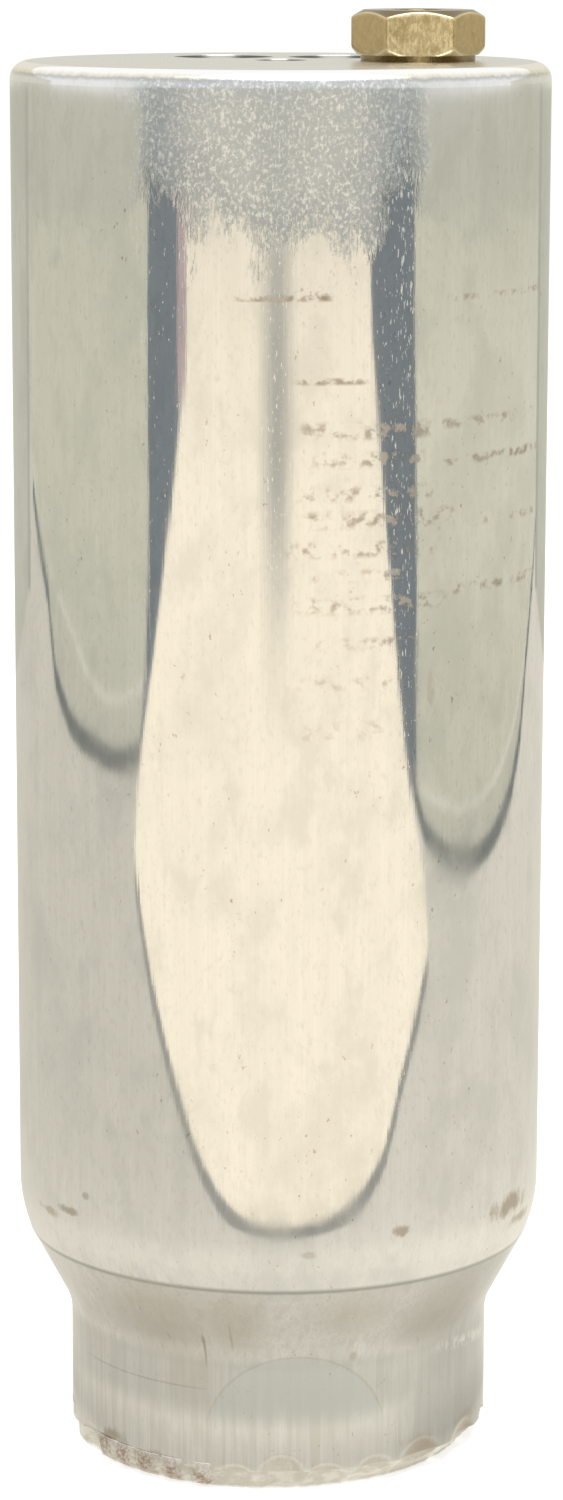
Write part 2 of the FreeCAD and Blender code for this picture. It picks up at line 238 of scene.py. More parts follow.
def between(value, low, high):
    # 0 up to the first limit, 1 from the second, straight between
    return np.clip((value - low) / (high - low), 0, 1)


def shoulderArc(inset, steps):
    # the shoulder's round from the straight wall down to the crease, or the same set in by the wall's thickness
    height = can["creaseHeight"] + can["shoulderRound"] * sin(radians(can["shoulderTurn"]))
    middle = canRadius - can["shoulderRound"]
    return arc(middle, height, can["shoulderRound"] - inset, 0, -can["shoulderTurn"], steps)


def canProfile():
    # half section from the flat top down: top round, straight wall, shoulder round, crease, cone, fillet, neck
    c = can
    shoulder = shoulderArc(0, 16)
    crease = shoulder[-1]
    slope = radians(c["coneAngle"])
    corner = np.array([neckRadius, crease[1] - (crease[0] - neckRadius) / tan(slope)])
    filletReach = c["neckFillet"] * tan(slope / 2)
    filletTop = corner + filletReach * np.array([sin(slope), cos(slope)])
    filletLow = corner - np.array([0, filletReach])
    topRound = arc(canRadius - c["topRound"], canTop - c["topRound"], c["topRound"], 90, 0, 24)
    fillet = arc(neckRadius + c["neckFillet"], filletLow[1], c["neckFillet"], 180 - c["coneAngle"], 180, 14)
    return np.concatenate([
        topRound,
        straight(topRound[-1], shoulder[0], c["wallStep"]),
        shoulder[:-1],
        crease[None] + [[0.12 * mm, 0.18 * mm]],
        crease[None] - [[0.03 * mm, 0.12 * mm]],
        straight(crease, filletTop, 0.7 * mm),
        fillet,
        straight(fillet[-1], (neckRadius, c["fineFrom"]), 0.6 * mm),
        straight((neckRadius, c["fineFrom"]), (neckRadius, c["weldEdge"]), 0.16 * mm),
        [(c["footRadius"], c["footHeight"])],
    ])


def canOutside():
    # the profile turned round the axis, with a slow wander of the drawn wall, a slight wobble above the weld,
    # and the bites cut in at the foot
    profile = canProfile()
    angle = fullTurn(can["columns"])
    radius, height = profile[:, :1], profile[:, 1:]
    wall = between(height, 30 * mm, 38 * mm) * between(canTop - height, 2 * mm, 6 * mm)
    radius = radius + wall * can["wander"] * smoothNoise(angle[None], height, 4, 14, (9, 160))
    foot = between(12 * mm - height, 0, 4 * mm) * between(height, 3.2 * mm, 4.7 * mm)
    radius = radius + foot * can["footWobble"] * smoothNoise(angle[None], height, 9, 10, (24, 500))
    bitten = bittenRadius(angle[None], height)
    depth = between(radius - bitten, 0, can["biteEdge"]) * (height < 6 * mm)
    return around(np.minimum(radius, bitten), angle, height), gridFaces(len(profile), can["columns"]), depth.ravel()


def boreWall(centre, radius, passage, low):
    # a stepped port from its chamfered mouth down: wall, floor and the narrower passage
    c = can
    mouth, edge = (radius + c["portChamfer"], canTop), (radius, canTop - c["portChamfer"])
    floor = (radius, canTop - c["portFloor"])
    profile = np.concatenate([[mouth], straight(mouth, edge, 0.2 * mm), [edge], straight(edge, floor, 0.8 * mm),
                              [floor], [(passage, canTop - c["portFloor"])], [(passage, low)]])
    return turned(profile, c["holeColumns"], centre)


def threadedHole(centre, radius):
    # the wall's radius follows the thread: depth * triangle wave of (height / pitch + angle / turn)
    c = can
    columns = c["holeColumns"]
    height = np.linspace(canTop - c["portChamfer"], canTop - c["boltDepth"], 150)[:, None]
    angle = fullTurn(columns)
    wave = np.abs(((height / c["threadPitch"] - angle / tau) % 1) * 2 - 1)
    wallRadius = radius - c["threadDepth"] * wave * between(canTop - height, 0, 1 * mm)
    mouth = around(radius + c["portChamfer"], angle, canTop, centre)
    tip = np.array([[centre[0], centre[1], canTop - c["boltDepth"] - radius * 0.58]])
    points = np.concatenate([mouth, around(wallRadius, angle, height, centre), tip])
    faces = gridFaces(len(height) + 1, columns, flip=True)
    last = len(height) * columns
    faces += [[last + i, last + (i + 1) % columns, len(points) - 1] for i in range(columns)]
    return points, faces


def canInside():
    # the hollow that the packing fills: roof, bore, shoulder and the neck's bore, facing inwards
    c = can
    bore, neckBore = canRadius - c["wall"], neckRadius - c["neckWall"]
    shoulder = shoulderArc(c["wall"], 8)
    low = shoulder[-1][1] - (shoulder[-1][0] - neckBore) / tan(radians(c["coneAngle"]))
    roof = arc(bore - c["roofRound"], headRoof - c["roofRound"], c["roofRound"], 90, 0, 8)
    neck = [(neckBore, low), (neckBore, capTop), (capRadius, capTop), (capRadius, c["footHeight"])]
    return turned(np.concatenate([roof, shoulder, neck]), c["insideColumns"])


def makeCan():
    c = can
    inlet, outlet, bolt = (mounts[n]["pos_m"][:2] for n in ("inlet_port", "outlet_port", "block_bolt"))
    port, boltRadius = (mounts[n]["dims"]["r_mm"] * mm for n in ("inlet_port", "block_bolt"))
    holes = [(port + c["portChamfer"], inlet), (port + c["portChamfer"], outlet),
             (boltRadius + c["portChamfer"], bolt), (c["plugSeat"], plugCentre)]
    roofHoles = [(c["passage"], inlet), (c["tubeSeat"], outlet), (c["plugPassage"], plugCentre)]
    topHoles, underHoles = ([circle(r, c["holeColumns"], at) for r, at in listed] for listed in (holes, roofHoles))
    seatFloor, plugFloor = canTop - c["plugSeatDepth"], canTop - c["plugHoleDepth"]
    plugHole = [(c["plugSeat"], canTop), (c["plugSeat"], seatFloor), (c["plugHole"], seatFloor),
                (c["plugHole"], plugFloor), (c["plugPassage"], plugFloor), (c["plugPassage"], headRoof)]
    roofEdge = circle(canRadius - c["wall"] - c["roofRound"], c["insideColumns"])
    footEdge, capEdge = circle(c["footRadius"], c["columns"]), circle(capRadius, c["insideColumns"])
    outsidePoints, outsideFaces, depth = canOutside()
    points, faces = joined([
        (outsidePoints, outsideFaces),
        flatWithHoles(circle(canRadius - c["topRound"], c["columns"]), topHoles, canTop),
        boreWall(inlet, port, c["passage"], headRoof),
        boreWall(outlet, port, c["tubeBore"], canTop - c["tubeDepth"]),
        threadedHole(bolt, boltRadius),
        turned(plugHole, c["holeColumns"], plugCentre),
        canInside(),
        flatWithHoles(roofEdge, underHoles, headRoof, faceUp=False),
        flatWithHoles(footEdge, [capEdge], c["footHeight"], faceUp=False),
    ])
    bitten = np.concatenate([depth, np.zeros(len(points) - len(depth))])
    return meshPiece("canShell", points, faces, ["can_body"], {"bitten": bitten})


canShell = makeCan()
print("can: %d points" % len(canShell.data.vertices))


# weld bead round the foot

weld = {
    "columns": 900,
    "ringOffset": -1.0 * mm,
    "ringInset": 1.2 * mm,
    "spread": 1.0,
    "land": 20.7 * mm,
    "inner": [(0, 0.9), (0.12, 0.3), (0.5, 0.02)],
    "footRound": 0.5 * mm,
    "sideLow": 0.6 * mm,
    "sideHigh": 3.0 * mm,
    "ripple": 0.035 * mm,
    "grit": 0.03 * mm,
    "inset": 0.05 * mm,
    "lumpStand": 0.3 * mm,
    # lumps where the torch started and stopped: angle in degrees, half angle, height in mm, swell in mm
    "lumps": [(-55, 3.0, 2.2, 0.42), (-47, 2.6, 1.7, 0.36), (-39, 2.8, 1.6, 0.40), (-30, 2.2, 1.2, 0.34),
              (-21, 2.4, 0.9, 0.30)],
    "lumpHalfHeight": 1.1 * mm,
}


def makeWeld():
    # section from the cap's land to the neck: flat foot, rounded outer edge, bevelled side under the neck.
    # outer radius = distance to the offset foot circle + spread * height, kept inside the neck and the bites;
    # ripples of the weld pool and bell-shaped lumps are added along the outward direction
    w = weld
    angle = fullTurn(w["columns"])
    footRadius = neckRadius - w["ringInset"]
    foot = w["ringOffset"] * np.sin(angle) + np.sqrt(footRadius**2 - (w["ringOffset"] * np.cos(angle)) ** 2)
    innerOut, innerUp = np.array(w["inner"]).T[:, :, None] * mm
    turn = np.radians(np.linspace(-90, 0, 8))[:, None]
    sides = np.linspace(w["sideLow"], w["sideHigh"], 20)[:, None]
    radius = np.concatenate([
        w["land"] + innerOut + 0 * angle,
        foot - w["footRound"] + w["footRound"] * np.cos(turn),
        foot + w["spread"] * (sides - w["footRound"]),
    ])
    z = np.concatenate([innerUp, w["footRound"] * (1 + np.sin(turn)), sides]) + 0 * angle
    outer = between(radius - foot, -0.5 * mm, -0.1 * mm)
    pool = np.sin(angle * 96 + 5 * z / mm + 2 * np.sin(angle * 4)) * (0.6 + 0.4 * np.sin(angle * 7))
    radius = radius + outer * (w["ripple"] * pool + w["grit"] * smoothNoise(angle[None], z, 21, 14, (150, 5000)))
    rough = np.zeros_like(radius)
    fromFront = angle - tau * (angle > pi)
    for lumpAngle, halfAngle, height, swell in w["lumps"]:
        across = (fromFront - radians(lumpAngle)) / radians(halfAngle)
        away = across**2 + ((z - height * mm) / w["lumpHalfHeight"]) ** 2
        radius = radius + outer * swell * mm * np.exp(-away)
        rough = np.maximum(rough, np.exp(-0.4 * away))
    bitten = bittenRadius(angle[None], z)
    depth = between(neckRadius - bitten, 0, can["biteEdge"])
    radius = np.minimum(radius, np.minimum(neckRadius, bitten) - w["inset"] + rough * w["lumpStand"])
    faces = gridFaces(len(z), len(angle), flip=True, ring=True)
    masks = {"bitten": depth.ravel(), "lumpy": rough.ravel()}
    return meshPiece("weldBead", around(radius, angle, z), faces, ["closing_weld"], masks)


weldBead = makeWeld()
print("weld: %d points" % len(weldBead.data.vertices))


# fusible plug: hexagon head with worn chamfers, collar and shank

plug = {
    "columns": 540,
    "rows": 70,
    "flats": 13.0 * mm,
    "height": 4.9 * mm,
    "collar": 0.7 * mm,
    "collarRadius": 6.36 * mm,
    "topChamfer": 1.4 * mm,
    "topSlope": 30.0,
    "baseChamfer": 0.8 * mm,
    "edgeRound": 0.13 * mm,
    "edgeWear": 0.14 * mm,
    "edgeBlend": 0.06 * mm,
    "threadRadius": 4.76 * mm,
    "threadLength": 10.5 * mm,
    "bore": 1.6 * mm,
    "mouth": 2.6 * mm,
    "mouthDepth": 1.4 * mm,
    "mouthRound": 0.15 * mm,
    "farAway": 10.0 * mm,
}


def softLeast(a, b, rounding):
    # the smaller of two lengths with a rounded change-over: -r * log(exp(-a/r) + exp(-b/r))
    low = np.minimum(a, b)
    return low - rounding * np.log(np.exp(-(a - low) / rounding) + np.exp(-(b - low) / rounding))


def makePlug():
    # radius at an angle = least of the hexagon's flats and of the two turned chamfers, rounded where they meet
    p = SimpleNamespace(**plug)
    low = canTop + p.collar
    top = low + p.height
    angle = fullTurn(p.columns)
    corner = p.flats / 2 / cos(radians(30))
    height = (low + (0.5 - 0.5 * np.cos(np.linspace(0, pi, p.rows))) * p.height)[:, None]
    flats = np.full((1, len(angle)), p.farAway)
    for number in range(6):
        facing = np.cos(angle - radians(60 * number))
        reach = np.where(facing > 0.3, p.flats / 2 / np.maximum(facing, 0.3), p.farAway)
        flats = softLeast(flats, reach[None], p.edgeRound)
    topCone = corner - p.topChamfer + (top - height) / tan(radians(p.topSlope))
    baseCone = corner - p.baseChamfer + (height - low)
    radius = softLeast(softLeast(flats, topCone, p.edgeRound), baseCone, p.edgeRound)
    threadEnd = canTop - p.threadLength
    under = [(p.bore, threadEnd), (p.threadRadius, threadEnd), (p.threadRadius, canTop), (p.collarRadius, canTop),
             (p.collarRadius, low)]
    mouthFloor = top - p.mouthDepth
    inner = [(p.mouth + p.mouthRound, top), (p.mouth, top - p.mouthRound), (p.mouth, mouthFloor), (p.bore, mouthFloor)]
    underRadius, underHeight = np.array(under).T[:, :, None] + 0 * angle
    innerRadius, innerHeight = np.array(inner).T[:, :, None] + 0 * angle
    rim = [radius[-1:] - 0.12 * mm, radius[-1:] - 0.9 * mm]
    grid = np.concatenate([underRadius, radius, *rim, innerRadius])
    z = np.concatenate([underHeight, height + 0 * angle, top + 0 * rim[0], top + 0 * rim[1], innerHeight])
    # marks for the finish: worn edges where flats meet chamfers, the upper chamfer with all above it for painted shade,
    # the front flat for a painted highlight
    first, last = len(under), len(under) + len(height)
    edge, upper, front = np.zeros((3,) + grid.shape)
    edge[first:last] = sum(np.exp(-np.abs(flats - cone) / p.edgeWear) for cone in (topCone, baseCone))
    upper[first:last] = between(flats - topCone, -0.5 * p.edgeBlend, 0.5 * p.edgeBlend)
    upper[last:] = 1
    front[first:last] = between(radians(30) - np.abs((angle + pi) % tau - pi), 0, radians(2))
    faces = gridFaces(len(grid), len(angle), flip=True, ring=True)
    masks = {"edge": edge.ravel(), "upper": upper.ravel(), "front": front.ravel()}
    return meshPiece("plugHexagon", around(grid, angle, z, plugCentre), faces, ["fusible_plug"], masks)


plugHexagon = makePlug()
print("plug: %d points" % len(plugHexagon.data.vertices))


# node helpers

class Mask:
    # a value in a node tree, so that masks read as formulas: each sign or method puts down one Math node
    def __init__(self, socket):
        self.socket, self.tree = socket, socket.id_data

    def maths(self, operation, *values, clamp=False):
        sockets = dict(enumerate([self, *values]))
        return put(self.tree, "ShaderNodeMath", sockets, operation=operation, use_clamp=clamp)

    def held(self):
        # kept between 0 and 1
        return self.maths("ADD", 0.0, clamp=True)

    def __add__(self, other):
        return self.maths("ADD", other)

    def __sub__(self, other):
        return self.maths("SUBTRACT", other)

    def __rsub__(self, other):
        return self.maths("MULTIPLY_ADD", -1.0, other)

    def __mul__(self, other):
        return self.maths("MULTIPLY", other)

    def __truediv__(self, other):
        return self.maths("DIVIDE", other)

    def __or__(self, other):
        # the larger of the two
        return self.maths("MAXIMUM", other)

    def __abs__(self):
        return self.maths("ABSOLUTE")


def give(node, sockets):
    # numbers, colours and other nodes' outputs for a node's sockets, by name or number
    for name, value in sockets.items():
        if isinstance(value, Mask):
            node.id_data.links.new(value.socket, node.inputs[name])
        else:
            node.inputs[name].default_value = value


def put(tree, kind, sockets=None, output=0, **settings):
    # one node with its settings and sockets; gives one of its outputs
    node = tree.nodes.new(kind)
    for key, value in settings.items():
        setattr(node, key, value)
    give(node, sockets or {})
    return Mask(node.outputs[output])


def mixColour(factor, low, high):
    return put(factor.tree, "ShaderNodeMix", {0: factor, 6: low, 7: high}, output=2, data_type="RGBA")


def layered(colour, layers):
    # each layer's tone laid over the ones before it where its mask is high
    for mask, toneAbove in layers:
        colour = mixColour(mask, colour, toneAbove)
    return colour


def ramp(value, low, high):
    # 0 at the first limit, 1 at the second, smooth between
    sockets = {"Value": value, "From Min": low, "From Max": high}
    return put(value.tree, "ShaderNodeMapRange", sockets, interpolation_type="SMOOTHSTEP")


def lineAt(value, middle, half):
    # 1 on the line, falling to 0 at the half width
    return (1.0 - abs(value - middle) / half).held()


def rootOfSquares(a, b):
    return (a * a + b * b).maths("SQRT")


def most(masks):
    # the largest of several masks
    total = masks[0]
    for mask in masks[1:]:
        total = total | mask
    return total


def split(vector):
    return [Mask(part) for part in put(vector.tree, "ShaderNodeSeparateXYZ", {0: vector}).socket.node.outputs]


def noiseAt(vector, detail, roughness, scale=1.0):
    sockets = {"Vector": vector, "Scale": scale, "Detail": detail, "Roughness": roughness}
    return put(vector.tree, "ShaderNodeTexNoise", sockets)


def stretched(spot, across, up):
    # x and y scaled by one number and z by another
    factors = put(spot.tree, "ShaderNodeCombineXYZ", {0: across, 1: across, 2: up})
    return put(spot.tree, "ShaderNodeVectorMath", {0: spot, 1: factors}, operation="MULTIPLY")


def noisesOn(spot, listed):
    # noises by name, each from its scale across and up, its detail and its roughness
    return SimpleNamespace(**{name: noiseAt(stretched(spot, across, up), detail, roughness)
                              for name, (across, up, detail, roughness) in listed.items()})


def bumpOf(relief, depth=1.0, strength=1.0):
    return put(relief.tree, "ShaderNodeBump", {"Strength": strength, "Distance": depth, "Height": relief})


def objectPlace(tree):
    return put(tree, "ShaderNodeTexCoord", output="Object")


def wallPlace(tree):
    # a spot, its angle round the upright axis (0 at the front, growing to the right), its height and its distance
    spot = objectPlace(tree)
    x, y, height = split(spot)
    return spot, x.maths("ARCTAN2", y * -1.0), height, rootOfSquares(x, y)


def pointMask(tree, name):
    return put(tree, "ShaderNodeAttribute", output="Fac", attribute_name=name)


def newMaterial(name):
    material = bpy.data.materials.new(name)
    material.use_nodes = True
    tree = material.node_tree
    return material, tree, tree.nodes["Principled BSDF"]


def tint(red, green, blue):
    return (red, green, blue, 1.0)


# shared effects

def effectGroup(name, inputs, output, build):
    # node group with a named socket for each vector or number given, and what build makes of them as its output
    group = bpy.data.node_groups.new(name, "ShaderNodeTree")
    for label, value in inputs.items():
        kind = "NodeSocketVector" if isinstance(value, tuple) else "NodeSocketFloat"
        group.interface.new_socket(name=label, in_out="INPUT", socket_type=kind).default_value = value
    kind = "NodeSocketVector" if output == "Normal" else "NodeSocketFloat"
    group.interface.new_socket(name=output, in_out="OUTPUT", socket_type=kind)
    start, end = group.nodes.new("NodeGroupInput"), group.nodes.new("NodeGroupOutput")
    give(end, {output: build(*(Mask(start.outputs[label]) for label in inputs))})
    return group


def placed(tree, group, **sockets):
    return put(tree, "ShaderNodeGroup", sockets, node_tree=group)


def grain(vector, across, along, strength):
    # fine grain along the upright axis: noise on squeezed coordinates, as a bump normal
    return bumpOf(noiseAt(stretched(vector, across, along), 3.0, 0.6), 0.1 * mm, strength)


def softPatches(vector, scale, low, high):
    # soft random patches: noise cut between two levels
    return ramp(noiseAt(vector, 5.0, 0.62, scale), low, high)


def rowOfDashes(angle, height, start, end, level, thickness, kept, strength):
    # a dashed row of residue round the can: a soft band in height, cut to an angle range and broken by noise
    flat = put(angle.tree, "ShaderNodeCombineXYZ", {0: angle * 22.0, 1: height * 700.0, 2: level * 900.0})
    band = ((1.0 - abs(height - level) / thickness).held() * 1.6).held()
    ends = ((angle - start) * 20.0).held() * ((end - angle) * 20.0).held()
    return band * ramp(noiseAt(flat, 2.5, 0.6), kept, kept + 0.24) * ends * strength


def ovalMark(angle, height, noise, middle, level, halfAngle, halfHeight, strength):
    # an oval mark at an angle and height, its edge broken up by noise
    distance = rootOfSquares((angle - middle) / halfAngle, (height - level) / halfHeight)
    return ramp(noise * 2.2 + (distance - 1.1), 1.0, 0.25) * strength


def wovenWires(vector, pitch):
    # plain weave: over and under of crossed wires, the larger of |sin| along x and z, times |sin| along y
    x, y, z = (abs((part * pi / pitch).maths("SINE")) for part in split(vector))
    return (x | z) * y


def packedBeads(vector, scale):
    # rounded cells, high in the middle and dark between
    sockets = {"Vector": vector, "Scale": scale, "Randomness": 0.6}
    return (1.0 - put(vector.tree, "ShaderNodeTexVoronoi", sockets, output="Distance")).held()


origin = (0, 0, 0)
drawnGrain = effectGroup("drawnGrain", {"Vector": origin, "Across": 900.0, "Along": 20.0, "Strength": 0.1},
                         "Normal", grain)
patches = effectGroup("patches", {"Vector": origin, "Scale": 100.0, "Low": 0.5, "High": 0.6}, "Mask", softPatches)
residueRow = effectGroup("residueRow", {"Angle": 0.0, "Height": 0.0, "From": 0.0, "To": 0.0, "Level": 0.0,
                                        "Thickness": 0.5 * mm, "Kept": 0.5, "Strength": 0.5}, "Mask", rowOfDashes)
wallMark = effectGroup("wallMark", {"Angle": 0.0, "Height": 0.0, "Noise": 0.5, "Middle": 0.0, "Level": 0.0,
                                    "HalfAngle": 0.1, "HalfHeight": 1 * mm, "Strength": 0.5}, "Mask", ovalMark)
weave = effectGroup("weave", {"Vector": origin, "Pitch": 0.6 * mm}, "Height", wovenWires)
beads = effectGroup("beads", {"Vector": origin, "Scale": 500.0}, "Height", packedBeads)


# drawn aluminium of the can

aluminium = {
    "colour": tint(0.90, 0.895, 0.88),
    "streak": tint(0.85, 0.845, 0.825),
    "cloud": tint(0.76, 0.76, 0.745),
    "grain": tint(0.76, 0.755, 0.73),
    "coneStreak": tint(0.72, 0.70, 0.665),
    "shade": tint(0.30, 0.31, 0.31),
    "headTone": tint(0.545, 0.575, 0.58),
    "headLowTone": tint(0.40, 0.435, 0.455),
    "headFleck": tint(0.88, 0.89, 0.87),
    "fleck": tint(0.93, 0.93, 0.91),
    # painted highlight: the white top round and the yellowish line along its lower edge
    "rim": tint(0.97, 0.97, 0.96),
    "rimEdge": tint(0.90, 0.83, 0.62),
    # line: the neck's turned tool line, painted shade along the crease and under the rim, and the outline of the
    # painted reflection on the neck
    "line": tint(0.40, 0.40, 0.38),
    # painted shade: a darker base colour for the top face, standing in for its dimmer reflection
    "topTone": tint(0.62, 0.62, 0.595),
    # painted shade: near black for the holes and the inside
    "bore": tint(0.12, 0.12, 0.115),
    # painted reflection: the cooler, darker tone inside the arch on the neck
    "archReflection": tint(0.60, 0.63, 0.62),
    "residue": tint(0.40, 0.31, 0.23),
    "stain": tint(0.58, 0.53, 0.46),
    # bite: weld smut, with painted shade in the bites' hollows
    "bite": tint(0.42, 0.36, 0.29),
    "scratch": tint(0.42, 0.37, 0.31),
    "wallRoughness": 0.045,
    "headRoughness": 0.22,
    "coneRoughness": 0.13,
    "fleckRoughness": 0.42,
    "topRoughness": 0.26,
    "markRoughness": 0.5,
    "headLow": 138.5 * mm,
    "headHigh": 143.5 * mm,
    "headHalf": 29.0,
    "rimLow": 157.25 * mm,
    # the arch of painted reflection on the neck: middle and half width in degrees, base and rise
    "archMiddle": 5.0,
    "archHalf": 25.0,
    "archBase": 5.5 * mm,
    "archRise": 10.4 * mm,
    "neckLine": 11.7 * mm,
    # the cracked line falls to the right from this height and angle, in radians
    "crackHeight": 14.9 * mm,
    "crackAngle": 0.69,
    "crackFall": 3.0 * mm,
    # noises: scale across and up, detail, roughness
    "noises": {
        "fine": (5200, 70, 2.0, 0.6),
        "broad": (800, 34, 4.0, 0.65),
        "grit": (2700, 2000, 3.5, 0.65),
        "dashes": (4300, 900, 2.5, 0.6),
        "cloud": (110, 70, 5.0, 0.62),
        "swell": (260, 130, 4.0, 0.6),
        "mark": (700, 420, 4.0, 0.65),
        "drawn": (950, 60, 3.5, 0.6),
        "speck": (1500, 900, 3.0, 0.7),
        "grain": (1900, 800, 4.0, 0.7),
    },
    # residue rows: from and to in degrees round the can, height in mm, thickness in mm, share cut away, strength
    "rows": [
        (-10, 12, 134.4, 0.45, 0.38, 0.95), (36, 72, 134.0, 0.45, 0.44, 0.75), (2, 19, 125.6, 0.5, 0.40, 0.80),
        (2, 18, 134.9, 0.4, 0.5, 0.8), (3, 34, 120.3, 1.2, 0.44, 0.65), (30, 70, 120.6, 0.7, 0.48, 0.70),
        (6, 32, 117.2, 1.1, 0.45, 0.60), (34, 72, 116.6, 0.7, 0.45, 0.80), (2, 35, 113.6, 1.1, 0.45, 0.60),
        (3, 40, 110.8, 1.2, 0.43, 0.65), (32, 74, 109.6, 0.6, 0.50, 0.55), (0, 36, 107.6, 1.1, 0.45, 0.65),
        (4, 30, 104.8, 0.9, 0.47, 0.50), (2, 38, 101.6, 1.2, 0.42, 0.60), (36, 70, 102.6, 0.7, 0.46, 0.80),
        (4, 32, 97.4, 0.9, 0.47, 0.45), (3, 28, 93.2, 1.1, 0.49, 0.40), (2, 24, 88.0, 1.3, 0.49, 0.38),
    ],
    # marks: angle in degrees, height in mm, half angle in degrees, half height in mm, strength
    "scuffs": [
        (60, 31.0, 10, 1.7, 0.70), (66, 28.6, 7, 0.9, 0.6), (27, 31.4, 2.6, 0.8, 0.7), (-52, 31.2, 4.5, 0.6, 0.65),
        (-46, 33.6, 1.6, 0.5, 0.5), (33, 92, 1.2, 3.0, 0.25), (6, 29.6, 2.4, 0.5, 0.35), (-60, 30.2, 6, 0.7, 0.5),
    ],
    "stains": [
        (-30, 20.0, 20, 7.0, 0.55), (-11, 20.5, 12, 5.5, 0.50), (-24, 13.5, 11, 5.5, 0.28), (18, 21.5, 14, 4.0, 0.35),
        (46, 19.5, 20, 6.0, 0.40), (-60, 17.0, 10, 6.5, 0.22),
    ],
    "scratches": [(-19.5, 16.0, 0.6, 3.4, 0.75), (-12.0, 18.6, 0.4, 2.4, 0.35), (20, 15.6, 1.6, 0.9, 0.45)],
    "burns": [(-52, 3.4, 8, 1.2, 0.75), (-33, 2.6, 9, 0.9, 0.6), (64, 4.2, 8, 1.3, 0.35), (42, 4.0, 8, 1.3, 0.3)],
}


def angleLine(angle, middle, half):
    return lineAt(angle, radians(middle), radians(half))


def wallMarks(angle, height, noise, listed):
    return most([placed(angle.tree, wallMark, Angle=angle, Height=height, Noise=noise, Middle=radians(middle),
                        Level=level * mm, HalfAngle=radians(halfAngle), HalfHeight=halfHeight * mm, Strength=strength)
                 for middle, level, halfAngle, halfHeight, strength in listed])


def residueRows(angle, height, listed):
    return most([placed(angle.tree, residueRow, Angle=angle, Height=height, From=radians(start), To=radians(end),
                        Level=level * mm, Thickness=thickness * mm, Kept=kept, Strength=strength)
                 for start, end, level, thickness, kept, strength in listed])


def headAndRim(angle, height, n):
    # the solid head wasn't drawn: its skin stays crackled at the front, with a ragged lower border
    a = aluminium
    barSides = angleLine(angle, 27, 9) | angleLine(angle, -27, 8)
    ragged = height + (n.swell - 0.5) * 0.022 + (n.dashes - 0.5) * 0.010 + barSides * -0.0065
    sideways = abs(angle) + (n.swell - 0.5) * 0.35
    front = ramp(sideways, radians(a["headHalf"] + 6), radians(a["headHalf"] - 4))
    rimEdge = height + (n.broad - 0.5) * 0.0006
    rim = ramp(rimEdge, a["rimLow"], a["rimLow"] + 0.3 * mm)
    headSide = ramp(ragged, a["headLow"], a["headHigh"]) * (1.0 - rim)
    return ragged, rimEdge, rim, headSide, headSide * front


def fleckMask(angle, height, rim, n):
    # white upright flecks over the slate-toned bars, thicker towards the head
    bars = angleLine(angle, 26, 7) | angleLine(angle, -28, 6) * 0.35 | angleLine(angle, -1, 6) * 0.8
    amount = n.dashes + bars * 0.095 + ramp(height, 0.075, 0.142) * 0.045
    return ramp(amount, 0.69, 0.78) * (1.0 - rim) * ramp(height, 0.03, 0.06) * ramp(abs(angle), 0.62, 0.5) * 0.75


def neckLayers(angle, height, cone, n):
    # painted shade on the cone and neck's sides and in a band round the neck, an arch of painted reflection with its
    # outline, the neck's line, a line of painted shade along the crease and the crack on the right
    a = aluminium
    # painted shade: the cone and neck darker towards the right side and a little towards the left
    shade = cone * (ramp(angle, 0.35, 0.95) * 0.50 + ramp(angle, -0.40, -1.0) * 0.13)
    # painted shade: a darker band round the neck's middle, fading out towards 7 and 17 mm up
    dullToneAndShade = ramp(height, 7.0 * mm, 10.5 * mm) * ramp(height, 17.0 * mm, 14.5 * mm) * 0.34
    # painted reflection: an arch on the neck, darker and cooler inside, with a thin darker outline
    archReflection = rootOfSquares((angle - radians(a["archMiddle"])) / radians(a["archHalf"]),
                         (height - a["archBase"]) / a["archRise"])
    archBase = ramp(height, 7.0 * mm, 10.0 * mm)
    neckLine = lineAt(height, a["neckLine"], 0.14 * mm) * ramp(angle, -0.30, -0.42) * ramp(angle, -1.2, -1.0)
    neckLine = neckLine * ramp(n.drawn, 0.3, 0.5) * 0.7
    # painted shade: a dark line along the crease
    crease = lineAt(height, can["creaseHeight"], 0.42 * mm) * 0.95
    fall = height + (angle - a["crackAngle"]) * a["crackFall"]
    crack = lineAt(fall, a["crackHeight"], 0.9 * mm) * ramp(angle, 0.72, 1.05) * ramp(n.mark, 0.44, 0.52)
    return crack, [
        (shade | dullToneAndShade, a["shade"]),
        (ramp(archReflection, 1.0, 0.96) * archBase * (n.drawn * 0.9 + 0.2), a["archReflection"]),
        (lineAt(archReflection, 1.0, 0.022) * archBase * 0.34, a["line"]),
        (neckLine | crease, a["line"]),
        (crack * 0.7, a["fleck"]),
    ]


